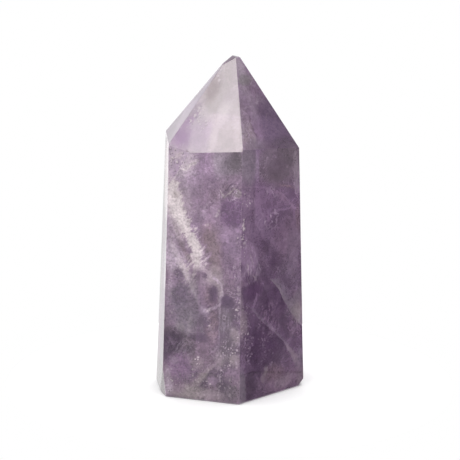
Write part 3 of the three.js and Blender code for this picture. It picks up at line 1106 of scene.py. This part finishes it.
    # The lower band and the very dark zone under it
    lower_line = [
        (-6.2, 21), (-5, 19.8), (-3.5, 18.2), (0, 15.3), (2.5, 13), (4.2, 11.2), (5.5, 9.3),
        (7.6, 5.6), (9.8, 3.2),
    ]
    side.spot("shade", 0.9, (-1.6, 12), (7.4, 6.2), soft=0.3)
    side.spot("plum", 0.9, (-2.6, 11.8), (5, 5.6), 15)
    side.band("purple", 0.8, lower_line, (0, 0.2), (0.4, 3), 0.5)
    side.band("haze", 0.4, lower_line, (0, 0.15), (0, 1), 0.5)
    side.spot("pearl", 0.55, (7.2, 7.4), (0.5, 3.4), -32, 0.8)
    side.spot("haze", 0.5, (9.2, 5.6), (1.4, 3.4), soft=0.6)
    side.spot("beige", 0.4, (9.4, 2.2), (1.4, 2), soft=0.6)
    side.brushed("mauve", 0.6, (0, 18), (4, 4))
    side.spot("plum", 0.6, (4.2, 18), (1.8, 2.2), -40, 0.6)
    # Beads along the edge, and brown-purple quartz near the foot
    side.spot("beige", 0.5, (-8.6, 18), (1.3, 2.4), soft=0.6)
    side.spot("lilac", 0.3, (-8.8, 10.4), (0.8, 3))
    side.spot("pearl", 0.45, (-9.3, 21), (0.7, 6.4), soft=0.6)
    side.sparkle(0.6, (-8, 17), (1.2, 5))
    side.sparkle(0.4, (-6.6, 11.6), (1.2, 3))
    side.sparkle(0.15, (-1.5, 12.5), (2.5, 3))
    side.dots("pale", 0.35, ((-6.5, 12.5), (-6, 11), (-7.2, 9.8), (-6, 14.3), (-2, 13), (0.5, 9.5)))
    side.spot("mauve", 0.85, (3.4, 3.2), (6.5, 2.8))
    side.spot("brown", 0.4, (0.6, 5), (3, 1.8))
    side.spot("pearl", 0.3, (3.8, 2.6), (2.6, 1.4))
    side.spot("pearl", 0.65, (-1.9, 5.9), (0.6, 1), 15, 0.7)
    side.spot("pearl", 0.35, (-2.8, 4.4), (0.5, 0.9), -15, 0.7)
    side.spot("shade", 0.6, (-6.6, 4), (2.2, 3))
    side.spot("haze", 0.7, (-9.4, 3.4), (1.3, 4.8), soft=0.4)
    side.sheets(0.4, (2, 44), (8, 5))
    side.net(0.25, (-3, 10), (5, 8))
    side.spot("night", 0.1, (0, 12), (11, 15), soft=0.4)


def front_left_tip(tip):
    """Pale and shining, with a brown corner, bubbles along the left and purple at the lower left. Its pale
    tones are partly the quartz's own and partly a painted reflection of the softbox, brightest at the lower
    right.
    """
    tip.grain(0.35, 0.35)
    tip.cut_width = 0.7
    tip.spot("lilac", 0.6, (-3.6, 58.6), (3, 3), soft=0.7, left_of=-0.9)
    tip.spot("orchid", 0.85, (-7.8, 58), (2.8, 2.6), 30, 0.8, left_of=-5.2)
    # The beige, cream and milk here are partly painted reflection of the softbox
    tip.spot("beige", 0.85, (3.4, 58.4), (4, 3), soft=0.6, right_of=-0.9)
    tip.spot("cream", 0.6, (0.1, 58.4), (0.7, 2.2))
    tip.spot("beige", 0.5, (0.2, 70.6), (1.6, 3.6), soft=0.7)
    tip.spot("beige", 0.55, (-1.6, 65.2), (1.7, 3), 10, 0.7)
    tip.spot("brown", 0.9, (-2.8, 67.8), (1.5, 2.6), 12, 0.7)
    tip.spot("milk", 0.5, (1.4, 64), (1.3, 1.9), 20, 0.7)
    tip.spot("cream", 0.5, (4.6, 61.4), (0.8, 4.4), -20, 0.7)
    tip.spot("orchid", 0.75, (-6.2, 61.8), (0.8, 2), 38, 0.6)
    tip.spot("mauve", 0.85, (-5.7, 63.6), (0.8, 2.2), 38, 0.6)
    tip.dots("cream", 0.8, (
        (-5, 64), (-4.7, 62.9), (-5.5, 62.4), (-4.3, 61.4), (-6.2, 61.3), (-2.2, 70.3), (-1.6, 69.5),
    ))
    tip.sparkle(1.0, (-5, 62.4), (1.2, 2.2), 35)
    tip.sparkle(0.5, (-2.8, 60.4), (1.8, 1.6))


def front_right_tip(tip):
    """Purple, with a grey top, light streaks at the left and a dark right half"""
    tip.grain(0.8, 1.0)
    tip.spot("pale", 0.9, (-0.1, 72.4), (1.3, 2.2))
    tip.spot("ash", 0.9, (-0.2, 69.9), (2.2, 1))
    tip.spot("pale", 0.65, (-2, 65), (2.4, 3.4), soft=0.6)
    tip.spot("iris", 0.9, (4.3, 59.8), (5.2, 5.6), soft=0.35, right_of=-2.8)
    tip.spot("iris", 0.3, (-2.6, 64), (2.6, 3.6), 30, 0.6)
    tip.spot("pearl", 0.85, (-5.4, 60.4), (2.8, 4.4), 20, left_of=-3.1)
    tip.spot("lilac", 0.55, (-3.6, 64), (1.7, 3), 25, 0.6)
    tip.brushed("pale", 0.8, (-5.2, 60.4), (2, 3.2))
    tip.path("dusk", 0.6, ((-3.1, 63.2), (-3.4, 61.5), (-2.9, 59.6), (-2.3, 58.2)))
    tip.streak("pale", 0.5, (-3.6, 64.4), (-0.8, 64.7), 0.3)
    tip.spot("pale", 0.6, (1.1, 65), (0.5, 0.5))
    tip.streak("cream", 0.45, (-3.2, 58.8), (-4.6, 56.4), 0.4)
    tip.dots("pale", 0.7, ((-0.3, 68), (-1.4, 68), (1.2, 69)))
    tip.spot("smoke", 0.55, (3.4, 55), (7, 2.2), soft=0.6)
    tip.spot("haze", 0.6, (-4, 56.8), (3, 1.4))
    tip.sparkle(0.6, (-5.2, 60.4), (1.6, 3))
    tip.net(1.0, (-5.4, 60), (2.2, 4))
    tip.sheets(0.7, (-1, 62), (3, 4))


def right_side(side):
    """The bands go on from the front right side and rise to the right"""
    side.grain(0.9, 0.9)
    side.spot("smoke", 0.7, (-2, 51), (6, 3.5))
    side.band("lilac", 0.4, [(-6.6, 40.8), (-2, 43.5), (2, 46.5), (6.4, 51)], (0.2, 0.8), (0, 0.3))
    side.spot("violet", 0.7, (2, 37), (4, 4.5))
    side.band("ash", 0.8, [(-7.6, 12.6), (-3, 17.6), (1, 22), (7.4, 28.5)], (0.3, 3.2), (0, 0.3))
    side.spot("plum", 0.7, (1, 15.6), (5.5, 2.6), 48)
    side.band("milk", 0.6, [(-7.6, 2.6), (-3, 7), (2, 11.5), (7.6, 15.4)], (0.2, 1.4), (0, 0.3))
    side.spot("brown", 0.5, (3, 4), (4, 3))
    side.sparkle(0.8, (6.6, 20), (1.2, 12))
    side.sheets(0.7, (0, 36), (6, 12))
    side.net(0.5, (0, 12), (6, 10))


def back_side(side):
    """Bands that fall to the middle and rise again, with a milky fringe above them"""
    side.grain(1.0, 1.0)
    side.spot("smoke", 0.7, (-5, 52), (3.5, 3.5))
    side.spot("pale", 0.6, (4, 52), (4, 4))
    side.spot("dusk", 0.8, (1, 43), (7, 4.5))
    fringe = [(8.6, 39), (5, 34.5), (2, 31), (-1, 28)]
    side.band("pale", 0.7, fringe, (0.6, 1.8), (0.6, 1.8), 1.5, torn=1.0)
    side.band("lilac", 0.5, [(-8.6, 45), (-5, 40), (-3, 36), (-1, 31)], (0.1, 0.5), (0.4, 2.8))
    side.spot("violet", 0.6, (-4.6, 31), (3, 4))
    side.band("pale", 0.8, [(-8.7, 28.5), (-5, 23.5), (-2, 19), (1, 14)], (0.1, 0.4), (0.4, 2.4))
    side.band("pale", 0.8, [(8.7, 27), (6, 22.5), (3.4, 18), (1, 14)], (0.4, 2.4), (0.1, 0.4))
    side.spot("plum", 0.75, (-4.4, 13), (3.2, 4.4), -30)
    side.spot("purple", 0.6, (5.4, 12), (2.8, 4))
    side.streak("milk", 0.6, (-8.6, 15.6), (-2, 5.6), 1.2)
    side.spot("beige", 0.6, (2, 3), (5, 2))
    side.sparkle(0.7, (1, 14), (2, 10))
    side.sheets(0.8, (0, 26), (8, 14))
    side.net(0.5, (3, 42), (5, 8))


def back_left_side(side):
    """The milky fringe goes on upwards, over a deep purple zone"""
    side.grain(1.0, 1.0)
    side.spot("pale", 0.7, (6, 53), (4, 4))
    side.spot("smoke", 0.5, (-5, 53), (4, 3))
    fringe = [(-9.2, 39), (-4, 42.5), (2, 46), (9.4, 50)]
    side.band("milk", 0.9, fringe, (0.7, 1.9), (0.7, 1.9), 1.5, torn=1.0)
    side.spot("brown", 0.5, (-4, 45), (4, 3))
    side.spot("violet", 0.75, (4, 33), (5, 4.5), 40)
    side.band("pale", 0.8, [(-9.3, 26.5), (-4, 22), (0, 18.4), (3, 14.8)], (0.1, 0.4), (0.4, 2.6))
    side.spot("plum", 0.6, (-4, 13), (4, 4), -40)
    side.spot("lilac", 0.6, (7, 20), (2.4, 6))
    side.ring("pale", 0.6, (6, 24), (2.2, 3), 0.15)
    side.spot("beige", 0.6, (0, 3.4), (7, 2.4))
    side.sparkle(0.7, (8.6, 18), (1.4, 12))
    side.sparkle(0.5, (-2, 5), (6, 4))
    side.sheets(0.8, (0, 28), (8, 16))
    side.net(0.5, (2, 12), (7, 9))


def right_tip(tip):
    """Purple, with a smoky foot and a pale top"""
    tip.grain(0.7, 0.7)
    tip.spot("ash", 0.7, (0.6, 70), (2.2, 2.6))
    tip.spot("violet", 0.6, (1.5, 62), (2.4, 3.4))
    tip.spot("smoke", 0.6, (2, 56), (5, 2))
    tip.sheets(0.8, (1, 62), (4, 8))


def back_tip(tip):
    """Pale lilac, with a purple middle"""
    tip.grain(0.6, 0.6)
    tip.spot("violet", 0.6, (-2, 61), (3, 3.4))
    tip.spot("ash", 0.6, (-0.4, 69), (1.6, 3))
    tip.spot("cream", 0.5, (3, 58), (2.6, 2.4))
    tip.sheets(0.9, (0, 62), (6, 8))
    tip.sparkle(0.5, (-4, 57), (4, 2))


def back_left_tip(tip):
    """Grey-lilac, with veils"""
    tip.grain(0.6, 0.6)
    tip.spot("lilac", 0.6, (3, 62), (4, 4))
    tip.spot("smoke", 0.5, (-2, 58), (4, 2.4))
    tip.spot("cream", 0.4, (2, 69), (2, 3))
    tip.sheets(0.9, (1, 62), (7, 8))
    tip.sparkle(0.5, (7, 60), (3, 3))


class AMETHYST_OT_stone(bpy.types.Operator):
    """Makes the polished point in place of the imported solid"""

    bl_idname = "amethyst.stone"
    bl_label = "Amethyst point"

    def execute(self, context):
        settings = context.scene.amethyst_stone
        form = merged_form(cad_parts[NODE])
        facets = [Facet(face) for face in form.faces]
        layer = form.faces.layers.int.new("facet")
        for number, face in enumerate(form.faces):
            face[layer] = number
        lines = edge_lines(form)
        round_edges(form, lambda edge: not is_by_the_foot(edge), settings.edge_round, settings.edge_steps)
        round_edges(form, is_by_the_foot, settings.foot_round, settings.edge_steps)
        cut_into_squares(form, settings.grid)
        shape_faces(form, layer, facets, settings)
        stone = object_of(form, STONE)
        finish = amethyst_finish(context.scene.amethyst_colours)
        stone.data.materials.append(finish)
        run_geometry_nodes(stone, chip_tree(), {
            "Edge lines": lines, "Spacing": settings.chip_spacing, "Share": settings.chip_share,
            "Smallest": settings.chip_smallest, "Largest": settings.chip_largest,
            "Seed": settings.chip_seed, "Material": finish,
        })
        bpy.data.objects.remove(lines)
        shade_evenly(stone)
        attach(stone, "root")
        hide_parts(NODE)
        return {"FINISHED"}


class AMETHYST_OT_stage(bpy.types.Operator):
    """Makes the floor, the lights and the camera"""

    bl_idname = "amethyst.stage"
    bl_label = "Stage"

    def execute(self, context):
        settings = context.scene.amethyst_stage
        make_floor(settings)
        make_lights(context.scene, settings)
        make_camera(context.scene, settings)
        return {"FINISHED"}


def matt_finish(name, grey, roughness):
    """A grey finish that doesn't shine"""
    material = bpy.data.materials.new(name)
    material.use_nodes = True
    inputs = material.node_tree.nodes["Principled BSDF"].inputs
    inputs["Base Color"].default_value = (grey, grey, grey, 1)
    inputs["Roughness"].default_value = roughness
    inputs["Specular IOR Level"].default_value = 0.0
    return material


def make_floor(settings):
    """A pale round floor under the stone"""
    form = bmesh.new()
    bmesh.ops.create_circle(form, cap_ends=True, segments=96, radius=settings.floor_radius)
    floor = object_of(form, "floor")
    floor.data.materials.append(matt_finish("pale floor", grey=0.95, roughness=0.9))
    floor.visible_glossy = False


def place_around(thing, azimuth, elevation):
    """Puts a light or a card at its distance from the stone, facing it"""
    middle = Vector((0, 0, LIGHTS_AIM))
    place = middle + facing(azimuth, elevation) * LIGHTS_DISTANCE
    turn = (middle - place).to_track_quat("-Z", "Y").to_matrix().to_4x4()
    thing.matrix_world = Matrix.Translation(place) @ turn


def softbox(name, brightness, size, azimuth, elevation, lit):
    """A rectangular light with an even face, which lights only one object"""
    width, height = size
    lamp = bpy.data.lights.new(name, "AREA")
    lamp.shape = "RECTANGLE"
    lamp.size = width
    lamp.size_y = height
    lamp.energy = brightness * math.pi * width * height
    light = new_object(name, lamp)
    light.visible_camera = False
    place_around(light, azimuth, elevation)
    group = bpy.data.collections.new(name + " lights")
    group.objects.link(lit)
    light.light_linking.receiver_collection = group


def dark_card(size, azimuth, elevation):
    """A black card that the faces at the right reflect, out of the camera's sight"""
    form = bmesh.new()
    stretch = Matrix.Diagonal((*size, 1, 1))
    bmesh.ops.create_grid(form, x_segments=1, y_segments=1, size=0.5, matrix=stretch)
    card = object_of(form, "dark card")
    place_around(card, azimuth, elevation)
    card.visible_camera = False
    card.visible_shadow = False
    card.data.materials.append(matt_finish("black felt", grey=0.02, roughness=1.0))


def make_lights(scene, settings):
    """A white room, a tall softbox at the left, one behind, a light for the floor, and a dark card at the
    right"""
    world = bpy.data.worlds.new("white room")
    world.use_nodes = True
    background = world.node_tree.nodes["Background"]
    background.inputs["Color"].default_value = (1, 1, 1, 1)
    background.inputs["Strength"].default_value = settings.room_light
    scene.world = world
    scene.view_settings.view_transform = "Standard"
    stone = bpy.data.objects[STONE]
    floor = bpy.data.objects["floor"]
    softbox("key", settings.key_light, size=(0.26, 0.52), azimuth=-52, elevation=40, lit=stone)
    softbox("back light", brightness=1.3, size=(0.5, 0.5), azimuth=-140, elevation=5, lit=stone)
    softbox("floor light", brightness=2.2, size=(0.6, 0.6), azimuth=0, elevation=90, lit=floor)
    dark_card(size=(0.5, 0.7), azimuth=95, elevation=-3)


def make_camera(scene, settings):
    """The camera where the stone was photographed from"""
    rise, roll = settings.camera_elevation, settings.camera_roll
    back = Vector((0, -math.cos(rise), math.sin(rise)))
    right = Vector((1, 0, 0))
    up = back.cross(right)
    rolled_right = right * math.cos(roll) + up * math.sin(roll)
    rolled_up = up * math.cos(roll) - right * math.sin(roll)
    lens = bpy.data.cameras.new("camera")
    lens.sensor_width = 36
    lens.lens = settings.lens
    lens.clip_start = 0.01
    camera = new_object("camera", lens)
    turned = Matrix((rolled_right, rolled_up, back)).transposed().to_4x4()
    place = Vector(settings.aim) + back * settings.camera_distance
    camera.matrix_world = Matrix.Translation(place) @ turned
    scene.camera = camera


class AMETHYST_PT_panel(bpy.types.Panel):
    """Lists the settings and the operators"""

    bl_label = "Chevron amethyst point"
    bl_space_type = "VIEW_3D"
    bl_region_type = "UI"
    bl_category = "Amethyst"

    def draw(self, context):
        scene = context.scene
        for group, operator in (
            (scene.amethyst_stone, "amethyst.stone"),
            (scene.amethyst_colours, None),
            (scene.amethyst_stage, "amethyst.stage"),
        ):
            box = self.layout.box()
            for name in group.__annotations__:
                box.prop(group, name)
            if operator:
                box.operator(operator)


CLASSES = (
    StoneSettings, ColourSettings, StageSettings, AMETHYST_OT_stone, AMETHYST_OT_stage, AMETHYST_PT_panel,
)
GROUPS = {
    "amethyst_stone": StoneSettings,
    "amethyst_colours": ColourSettings,
    "amethyst_stage": StageSettings,
}


def register():
    """Adds the classes and the scene's settings"""
    for kind in CLASSES:
        bpy.utils.register_class(kind)
    for name, kind in GROUPS.items():
        setattr(bpy.types.Scene, name, bpy.props.PointerProperty(type=kind))


def unregister():
    """Takes the classes and the scene's settings away again"""
    for name in GROUPS:
        delattr(bpy.types.Scene, name)
    for kind in reversed(CLASSES):
        bpy.utils.unregister_class(kind)


def main():
    """Makes the stone and its stage"""
    register()
    bpy.ops.amethyst.stone()
    bpy.ops.amethyst.stage()


if __name__ == "__main__":
    main()
